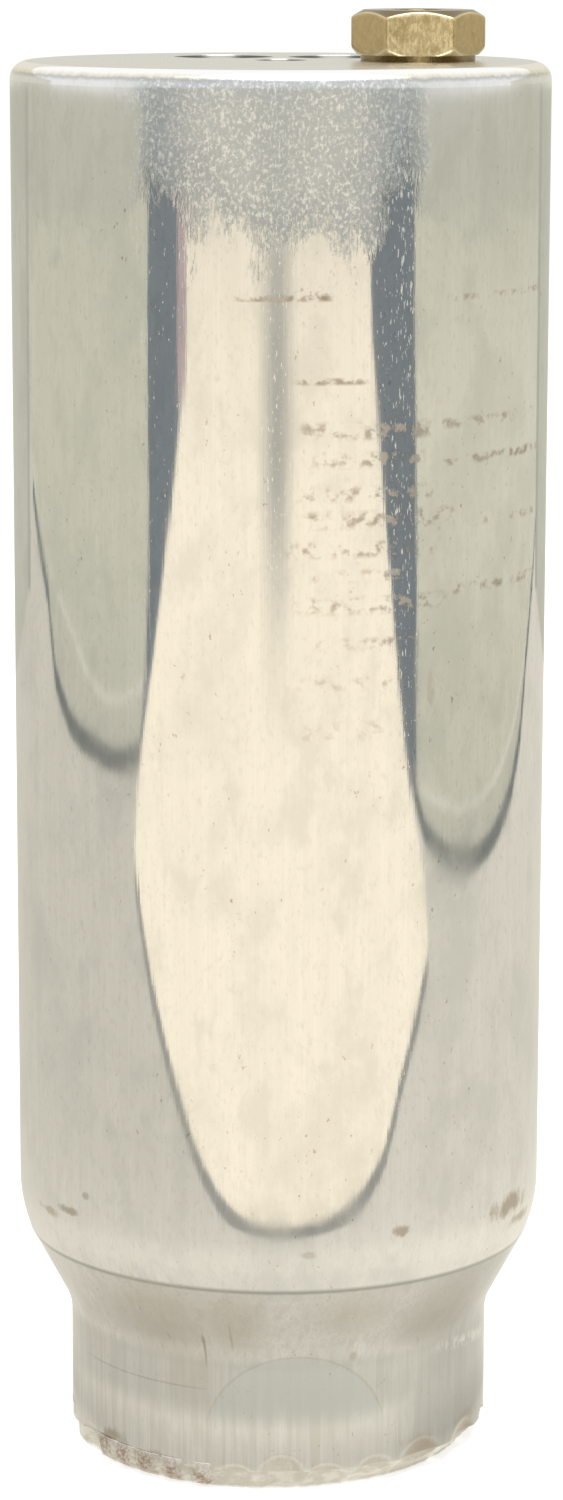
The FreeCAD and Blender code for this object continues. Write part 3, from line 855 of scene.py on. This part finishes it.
def makeAluminium():
    a = aluminium
    material, tree, shader = newMaterial("drawnAluminium")
    spot, angle, height, reach = wallPlace(tree)
    n = noisesOn(spot, a["noises"])
    soft = n.drawn * 0.8 + 0.1
    ragged, rimEdge, rim, headSide, head = headAndRim(angle, height, n)
    top = ramp(height, canTop - 0.5 * mm, canTop - 0.1 * mm) * ramp(reach, 28.6 * mm, 28.1 * mm)
    # painted shade: the walls of the holes and the inside, within 27 mm of the axis, above 27 mm and below the top
    # face, take the near-black bore tone
    bore = ramp(reach, 27.4 * mm, 27.0 * mm) * ramp(height, 26 * mm, 27 * mm)
    bore = bore * ramp(height, canTop - 0.02 * mm, canTop - 0.06 * mm)
    cone = ramp(height, can["creaseHeight"] + 0.1 * mm, can["creaseHeight"] - 0.2 * mm)
    rows = residueRows(angle, height, a["rows"])
    stains = wallMarks(angle, height, soft, a["stains"])
    burns = wallMarks(angle, height, n.mark, a["burns"])
    scuffs = wallMarks(angle, height, n.mark, a["scuffs"])
    scratches = wallMarks(angle, height, soft, a["scratches"])
    flecks = fleckMask(angle, height, rim, n)
    specks = ramp(n.speck, 0.645, 0.72) * ramp(n.cloud, 0.42, 0.60)
    crack, neck = neckLayers(angle, height, cone, n)
    # the bites' brown: weld smut with painted shade in their hollows, stronger on the right side
    bitten = pointMask(tree, "bitten") * (n.mark * 0.8 + 0.45).held() * (ramp(angle, 0.5, 0.75) * 0.50 + 0.40)

    plain = mixColour(ramp(n.fine * 0.4 + n.broad * 0.6, 0.38, 0.66), a["streak"], a["colour"])
    crackled = mixColour(ramp(ragged, 149.5 * mm, 142.5 * mm) * 0.6, a["headTone"], a["headLowTone"])
    colour = layered(plain, [
        (ramp(n.cloud, 0.46, 0.68) * 0.8, a["cloud"]),
        (ramp(n.swell, 0.50, 0.68) * 0.75, a["cloud"]),
        (ramp(n.grain, 0.50, 0.72) * 0.8, a["grain"]),
        (cone * ramp(n.fine, 0.46, 0.66) * 0.9, a["grain"]),
        (cone * ramp(n.drawn, 0.42, 0.66) * 0.7, a["coneStreak"]),
        (headSide * 0.24, a["headTone"]),
        (head, mixColour(ramp(n.grit, 0.46, 0.70), crackled, a["headFleck"])),
        (flecks, a["fleck"]),
        *neck,
        (stains, a["stain"]),
        (rows | scuffs | specks * 0.7, a["residue"]),
        (scratches, a["scratch"]),
        # rim: smooth, with a painted white highlight, its lower edge a yellowish painted highlight with a thin line of
        # painted shade under it
        (lineAt(rimEdge, a["rimLow"] - 0.25 * mm, 0.35 * mm) * 0.65, a["line"]),
        (rim, a["rim"]),
        (lineAt(rimEdge, a["rimLow"] + 0.12 * mm, 0.26 * mm) * 0.8, a["rimEdge"]),
        # painted shade on the top face
        (top, a["topTone"]),
        (bore, a["bore"]),
        (bitten | burns, a["bite"]),
    ])

    rough = head * (a["headRoughness"] - a["wallRoughness"]) + a["wallRoughness"] + headSide * 0.05
    rough = rough | cone * a["coneRoughness"] | (rows | scuffs | crack) * a["markRoughness"]
    rough = rough | flecks * a["fleckRoughness"] | (top | bore) * a["topRoughness"]
    rough = rough + ramp(n.cloud, 0.45, 0.75) * 0.05

    # heights in metres: drawn lines of one or two micrometres, the head's crackle of some more, lathe rings on the top
    drawn = (n.fine * 1.5e-6 + n.broad * 6.5e-6) * (1.0 - (top | rim))
    rings = noiseAt(put(tree, "ShaderNodeCombineXYZ", {0: reach * 3800.0}), 2.0, 0.6)
    relief = drawn + head * n.grit * 2.0e-5 + n.mark * scuffs * 6.0e-5 + rings * top * 6.0e-6
    give(shader, {"Base Color": colour, "Metallic": 1.0, "Roughness": rough, "Normal": bumpOf(relief)})
    return material


canShell.data.materials.append(makeAluminium())


# weld metal: bright and rippled, brown in the bites from weld smut with painted shade in their hollows, stronger on the
# right, and burnt brown where the torch started and stopped

weldLook = {
    "colour": tint(0.90, 0.89, 0.86),
    "dullToneAndShade": tint(0.74, 0.72, 0.67),
    # bite: weld smut, with painted shade in the bites' hollows
    "bite": tint(0.40, 0.34, 0.27),
    "burn": tint(0.36, 0.255, 0.19),
    "roughness": 0.12,
    "noises": {"flow": (500, 900, 3.0, 0.6), "grit": (2600, 2600, 3.0, 0.65)},
}


def makeWeldMetal():
    w = weldLook
    material, tree, shader = newMaterial("weldMetal")
    spot, angle = wallPlace(tree)[:2]
    n = noisesOn(spot, w["noises"])
    lumpy = pointMask(tree, "lumpy")
    # the bites' brown: weld smut with painted shade in their hollows, stronger on the right side
    bitten = pointMask(tree, "bitten") * (n.grit * 0.8 + 0.45).held() * (ramp(angle, 0.5, 0.75) * 0.45 + 0.15)
    colour = layered(mixColour(ramp(n.flow, 0.40, 0.62), w["dullToneAndShade"], w["colour"]), [
        (bitten, w["bite"]),
        (lumpy * (ramp(n.grit, 0.38, 0.62) * 0.7 + 0.3), w["burn"]),
    ])
    rough = lumpy * 0.25 + n.flow * 0.10 + w["roughness"]
    relief = n.flow * 1.2e-5 + n.grit * (lumpy * 6.0e-5 + 4.0e-6)
    give(shader, {"Base Color": colour, "Metallic": 1.0, "Roughness": rough, "Normal": bumpOf(relief)})
    return material


weldBead.data.materials.append(makeWeldMetal())


# brass of the hexagon: dull faces with upright tool marks, brighter worn edges, a painted highlight on the front flat
# and painted shade on the upper chamfer and top

brassLook = {
    "colour": tint(0.58, 0.445, 0.235),
    # painted highlight: the bright tone of the front flat
    "front": tint(0.97, 0.80, 0.48),
    "dark": tint(0.36, 0.25, 0.09),
    "edge": tint(0.95, 0.83, 0.52),
    # painted shade: the dark tone of the upper chamfer and top
    "top": tint(0.20, 0.155, 0.08),
    "roughness": 0.13,
    "noises": {"tooled": (3600, 1500, 3.5, 0.7), "tarnish": (420, 420, 3.0, 0.6)},
}


def makeBrass():
    b = brassLook
    material, tree, shader = newMaterial("plugBrass")
    n = noisesOn(objectPlace(tree), b["noises"])
    edge, upper, front = (pointMask(tree, name) for name in ("edge", "upper", "front"))
    # painted highlight on the front flat
    colour = layered(mixColour(front, b["colour"], b["front"]), [
        (ramp(n.tooled, 0.62, 0.40) * (front * 0.15 + 0.35), b["dark"]),
        (ramp(n.tarnish, 0.50, 0.68) * 0.45, b["dark"]),
        # painted shade on the upper chamfer and all above it
        (upper, b["top"]),
        (edge * (upper * -0.6 + 1.0) * 0.7, b["edge"]),
    ])
    rough = n.tarnish * 0.14 + b["roughness"]
    relief = n.tooled * 1.4e-5
    give(shader, {"Base Color": colour, "Metallic": 1.0, "Roughness": rough, "Normal": bumpOf(relief)})
    return material


plugHexagon.data.materials.append(makeBrass())


# finishes of the frame's own nodes

def darker(colour, share):
    return tint(*(part * share for part in colour[:3]))


def plainFinish(name, colour, metallic, roughness, scale, depth):
    # colour that varies a little between two tones, with matching roughness and a fine bump
    material, tree, shader = newMaterial(name)
    spot = objectPlace(tree)
    patch = placed(tree, patches, Vector=spot, Scale=scale, Low=0.35, High=0.65)
    give(shader, {
        "Base Color": mixColour(patch, darker(colour, 1 - depth), colour),
        "Metallic": metallic,
        "Roughness": patch * 0.12 + (roughness - 0.06),
        "Normal": placed(tree, drawnGrain, Vector=spot, Across=scale * 2, Along=scale * 2, Strength=0.1),
    })
    return material


def patternFinish(name, group, colour, metallic, roughness, reliefDepth, **pattern):
    # raised parts take the full colour, hollows a darker one as painted shade, with the same pattern as bump
    material, tree, shader = newMaterial(name)
    height = placed(tree, group, Vector=objectPlace(tree), **pattern)
    give(shader, {
        "Base Color": mixColour(ramp(height, 0.2, 0.7), darker(colour, 0.45), colour),
        "Metallic": metallic,
        "Roughness": roughness,
        "Normal": bumpOf(height, reliefDepth),
    })
    return material


steel, wire, fibre = tint(0.60, 0.60, 0.58), tint(0.55, 0.55, 0.53), tint(0.82, 0.78, 0.55)
# material, colour, metallic, roughness, scale of the patches, how much darker they are
plainFinishes = {
    "bottom_cap": ("turnedAluminium", tint(0.82, 0.82, 0.80), 1.0, 0.28, 500.0, 0.10),
    "fusible_alloy": ("fusibleAlloy", tint(0.42, 0.42, 0.43), 1.0, 0.45, 900.0, 0.25),
    "plug_o_ring": ("greenRubber", tint(0.03, 0.13, 0.05), 0.0, 0.55, 600.0, 0.20),
    "pick_up_tube": ("tubeAluminium", tint(0.85, 0.85, 0.84), 1.0, 0.24, 700.0, 0.10),
    "strainer_cage": ("mouldedPlastic", tint(0.75, 0.75, 0.70), 0.0, 0.45, 300.0, 0.06),
    "lower_baffle": ("pressedSteel", steel, 1.0, 0.32, 300.0, 0.12),
    "upper_baffle": ("pressedSteelUpper", steel, 1.0, 0.32, 300.0, 0.12),
    "fine_filter_felt": ("filterFelt", tint(0.80, 0.78, 0.70), 0.0, 0.95, 1500.0, 0.20),
    "lower_filter_pad": ("glassFibre", fibre, 0.0, 0.90, 900.0, 0.25),
    "upper_filter_pad": ("glassFibreUpper", fibre, 0.0, 0.90, 900.0, 0.25),
    "compression_spring": ("springSteel", tint(0.45, 0.45, 0.46), 1.0, 0.28, 600.0, 0.12),
    "can_body": ("canSolid", aluminium["colour"], 1.0, 0.15, 500.0, 0.05),
    "closing_weld": ("weldSolid", tint(0.80, 0.78, 0.74), 1.0, 0.30, 900.0, 0.25),
    "fusible_plug": ("plugSolid", tint(0.83, 0.62, 0.30), 1.0, 0.22, 700.0, 0.12),
}
finished = {node: plainFinish(*finish) for node, finish in plainFinishes.items()}
finished["strainer_mesh"] = patternFinish("wireCloth", weave, wire, 1.0, 0.35, 0.08 * mm, Pitch=0.45 * mm)
finished["lower_screen"] = patternFinish("screenCloth", weave, wire, 1.0, 0.35, 0.1 * mm, Pitch=0.8 * mm)
finished["upper_screen"] = patternFinish("screenClothUpper", weave, wire, 1.0, 0.35, 0.1 * mm, Pitch=0.8 * mm)
finished["desiccant_bed"] = patternFinish("desiccantBeads", beads, tint(0.62, 0.50, 0.36), 0.0, 0.85, 0.6 * mm,
                                          Scale=520.0)
for node, material in finished.items():
    mesh = frame["nodes"][node].data
    mesh.materials.clear()
    mesh.materials.append(material)
print("materials: %d" % len(bpy.data.materials))


# stage: white floor, plain world, and the table, cloth and cards that the can reflects

def onStage(name, corners, faces):
    mesh = bpy.data.meshes.new(name)
    mesh.from_pydata(corners, [], faces)
    sheet = bpy.data.objects.new(name, mesh)
    bpy.context.scene.collection.objects.link(sheet)
    return sheet


def glowingSheet(name, corners, colour):
    # sheet that glows in one colour, seen in the metal and not by the camera
    material = bpy.data.materials.new(name + "Tone")
    material.use_nodes = True
    tree = material.node_tree
    tree.nodes.clear()
    light = put(tree, "ShaderNodeEmission", {"Color": colour, "Strength": 1.0})
    give(tree.nodes.new("ShaderNodeOutputMaterial"), {0: light})
    material.cycles.emission_sampling = "NONE"
    sheet = onStage(name, corners, [list(range(len(corners)))])
    sheet.data.materials.append(material)
    sheet.visible_camera = sheet.visible_diffuse = sheet.visible_shadow = sheet.visible_transmission = False
    return sheet


def card(name, outline, height, colour=tint(1, 1, 1)):
    # flat sheet lying on the table, its outline and height in mm
    return glowingSheet(name, [(x * mm, y * mm, height * mm) for x, y in outline], colour)


def cardTree(sheet):
    # a card's node tree, with the distance and direction of a spot on it from the can's axis
    tree = sheet.data.materials[0].node_tree
    direction, _, distance = wallPlace(tree)[1:]
    return tree.nodes["Emission"], distance, direction


def tone(red, green, blue):
    # a colour as the can shows it, divided by the share of light that its aluminium returns
    return tint(red / 0.86, green / 0.86, blue / 0.86)


tones = {
    "sideNearLeft": tone(0.50, 0.487, 0.402),
    "sideNearRight": tone(0.545, 0.53, 0.432),
    "sideLeft": tone(0.555, 0.540, 0.442),
    "sideRight": tone(0.62, 0.60, 0.492),
    "sideFar": tone(0.525, 0.51, 0.42),
    "back": tone(0.49, 0.48, 0.40),
    "farStrip": tone(0.40, 0.40, 0.345),
    "cloth": tone(0.93, 0.84, 0.68),
    "clothFar": tone(0.80, 0.73, 0.60),
    "slate": tone(0.185, 0.208, 0.218),
    "band": tone(0.46, 0.45, 0.39),
    "edgeDark": tone(0.17, 0.18, 0.17),
    "edgeBand": tone(0.50, 0.485, 0.405),
    "edgeLight": tone(0.64, 0.62, 0.53),
    "clothEdge": tone(0.30, 0.295, 0.27),
    "plum": tone(0.45, 0.36, 0.355),
    "wallBack": tone(0.68, 0.66, 0.57),
    "wallFront": tone(0.50, 0.49, 0.44),
}
# the table's tone by distance from the can, in mm: dark under the overhang as a painted shadow of the can, pale beyond
# it
tableTones = [(24, 0.70), (27, 0.66), (31, 0.55), (37, 0.61), (43, 0.68), (54, 0.68), (62, 0.71), (82, 0.70),
              (100, 0.66), (116, 0.64), (150, 0.585), (200, 0.575)]
tableReach = tableTones[-1][0]


def scaled(outline, factor):
    return [(x * factor, y * factor) for x, y in outline]


def wedge(fromAzimuth, toAzimuth, near, far):
    # strip of the table between two directions from the can; 0 degrees is the front and 90 the right
    a, b = radians(fromAzimuth), radians(toAzimuth)
    return [(r * sin(t), -r * cos(t)) for r, t in ((near, a), (near, b), (far, b), (far, a))]


glowNode, distance, direction = cardTree(card("tableCard", circle(7000, 96), 0.30))
byDistance = put(glowNode.id_data, "ShaderNodeValToRGB", {0: distance / (tableReach * mm)})
stops = byDistance.socket.node.color_ramp.elements
while len(stops) < len(tableTones):
    stops.new(0.5)
for stop, (reach, value) in zip(stops, tableTones):
    stop.position = reach / tableReach
    stop.color = tone(value, value * 0.955, value * 0.825)
leftToRight = mixColour(ramp(direction, -1.3, 1.3), tint(0.98, 0.98, 0.98), tint(1.12, 1.12, 1.12))
tableTone = put(glowNode.id_data, "ShaderNodeVectorMath", {0: byDistance, 1: leftToRight}, operation="MULTIPLY")
give(glowNode, {"Color": tableTone})

# the cloth in front of the can, with its dark edge and the grey band down its middle
clothNear = [(346, -226), (302, -154), (256, -123), (201, -128), (157, -131), (114, -123), (84, -124), (56, -128),
             (28, -132), (2, -134), (-30, -134), (-51, -135), (-85, -141), (-132, -151), (-183, -156), (-246, -159),
             (-315, -165), (-378, -208), (-453, -310)]
clothFarLeft = [(-556, -486), (-718, -793), (-991, -1181), (-4200, -5000)]
clothFarRight = [(3700, -5000), (871, -1097), (661, -731), (495, -451), (396, -307)]
clothFar = clothFarLeft + clothFarRight
glowNode, distance, direction = cardTree(card("clothCard", clothNear + clothFar, 0.50))
card("clothEdge", scaled(clothNear, 0.938) + clothFar, 0.49, tones["clothEdge"])
off = abs(direction + radians(1.2))
middleBand = ramp(off, radians(9.5), radians(0.5)) * ramp(distance, 0.42, 0.95)
plainCloth = mixColour(ramp(distance, 0.6, 2.2), tones["cloth"], tones["clothFar"])
give(glowNode, {"Color": mixColour(middleBand, plainCloth, tones["band"])})

# slate-toned strips beside the cloth
beyondLeft = [(-7800, -5000), (-1601, -1028), (-945, -618), (-557, -366)]
beyondRight = [(8000, -5000), (1614, -1015), (965, -589), (574, -340)]
slateLeft = [(-391, -224), (-463, -295)] + beyondLeft[::-1] + clothFarLeft[::-1] + [(-453, -310), (-400, -235)]
slateRight = [(351, -217), (388, -235)] + beyondRight[::-1] + clothFarRight + [(346, -226)]
card("slateLeft", slateLeft, 0.56, tones["slate"])
card("slateRight", slateRight, 0.56, tones["slate"])
card("plumStrip", wedge(-43.5, -39.5, 1150, 4500), 0.58, tones["plum"])

# the table's far edges at the left and right, each with its dark underside in painted shade, its band and its lighter
# line, a painted highlight along the edge
edgeLeft = [(-391, -224), (-415, -149), (-448, -48), (-466, 80), (-495, 189), (-577, 289), (-640, 560)]
lineLeft = [(-463, -280), (-490, -174), (-509, -104), (-539, -28), (-588, 67), (-621, 190), (-680, 600)]
edgeRight = [(351, -217), (333, -169), (336, -101), (340, -33), (346, 64), (352, 172), (368, 261), (411, 364),
             (470, 620)]
lineRight = [(368, -206), (382, -133), (392, -57), (400, 26), (406, 130), (412, 241), (426, 348), (490, 640)]
for side, edge, line, beyond in (
    ("Left", edgeLeft, lineLeft, [(-5200, 5200)] + beyondLeft),
    ("Right", edgeRight, lineRight, [(4300, 5600)] + beyondRight),
):
    card("edgeDark" + side, scaled(edge, 0.985) + beyond, 0.40, tones["edgeDark"])
    card("edgeBand" + side, scaled(edge, 1.045) + beyond, 0.43, tones["edgeBand"])
    card("edgeLight" + side, scaled(line, 0.988) + beyond, 0.46, tones["edgeLight"])
    glowNode, distance, _ = cardTree(card("side" + side, scaled(line, 1.012) + beyond, 0.52))
    nearTone = mixColour(ramp(distance, 0.45, 0.85), tones["sideNear" + side], tones["side" + side])
    give(glowNode, {"Color": mixColour(ramp(distance, 0.8, 2.4), nearTone, tones["sideFar"])})
card("farStripLeft", wedge(-137.5, -134.5, 650, 6500), 0.54, tones["farStrip"])
card("farStripRight", wedge(142.5, 146.0, 650, 6500), 0.54, tones["farStrip"])
card("backSide", wedge(144, 223, 650, 6500), 0.53, tones["back"])

# upright sheets at the edge of the table, for what the can sees near the horizon
for name, y, top in (("wallBack", 4, 1.9), ("wallFront", -5, 0.5)):
    glowingSheet(name, [(-9, y, 0), (9, y, 0), (9, y, top), (-9, y, top)], tones[name])


def seenDirectly(tree):
    # 1 for the camera, the metal and glass, 0 for light that bounces
    rays = ("Is Camera Ray", "Is Glossy Ray", "Is Transmission Ray")
    return most([put(tree, "ShaderNodeLightPath", output=ray) for ray in rays])


def floorMaterial():
    # seen directly the floor is white, less the object's soft shadow; light bounces as from white paper
    material, tree, shader = newMaterial("whiteFloor")
    give(shader, {
        "Base Color": tint(0.85, 0.85, 0.85),
        "Roughness": 0.9,
        "Specular IOR Level": 0.0,
        "Emission Color": tint(1, 1, 1),
        "Emission Strength": seenDirectly(tree) * 0.55,
    })
    return material


studioFloor = onStage("studioFloor", [(-9, -9, 0), (9, -9, 0), (9, 9, 0), (-9, 9, 0)], [[0, 1, 2, 3]])
studioFloor.data.materials.append(floorMaterial())

world = bpy.data.worlds.new("studioWorld")
bpy.context.scene.world = world
world.use_nodes = True
tree = world.node_tree
backdrop = mixColour(seenDirectly(tree), tint(0.55, 0.55, 0.55), tint(1, 1, 1))
give(tree.nodes["Background"], {"Color": backdrop, "Strength": 1.0})

# one soft lamp above, a little to the front and right, turned towards the can's middle
lamp = bpy.data.lights.new("topLamp", "AREA")
lamp.energy, lamp.shape, lamp.size = 9, "DISK", 0.9
lampPlace, lampTarget = Vector((0.1, -0.2, 1.2)), Vector((0, 0, 0.08))
topLamp = bpy.data.objects.new("topLamp", lamp)
bpy.context.scene.collection.objects.link(topLamp)
topLamp.location = lampPlace
topLamp.rotation_euler = (lampTarget - lampPlace).to_track_quat("-Z", "Y").to_euler()
print("stage ready")


# camera, fitted to the photograph's outline of the can

camera = {"back": 0.483108, "height": 0.174396, "pitch": 11.023, "yaw": -0.028, "roll": 0.117, "lens": 103.42}
lens = bpy.data.cameras.new("photoCamera")
lens.sensor_width, lens.lens = 36, camera["lens"]
lens.clip_start, lens.clip_end = 0.01, 50
holder = bpy.data.objects.new("photoCamera", lens)
bpy.context.scene.collection.objects.link(holder)
holder.matrix_world = (
    Matrix.Translation((0, -camera["back"], camera["height"]))
    @ Matrix.Rotation(radians(camera["yaw"]), 4, "Z")
    @ Matrix.Rotation(radians(90 - camera["pitch"]), 4, "X")
    @ Matrix.Rotation(radians(camera["roll"]), 4, "Z")
)
bpy.context.scene.camera = holder
bpy.context.scene.view_settings.view_transform = "Standard"
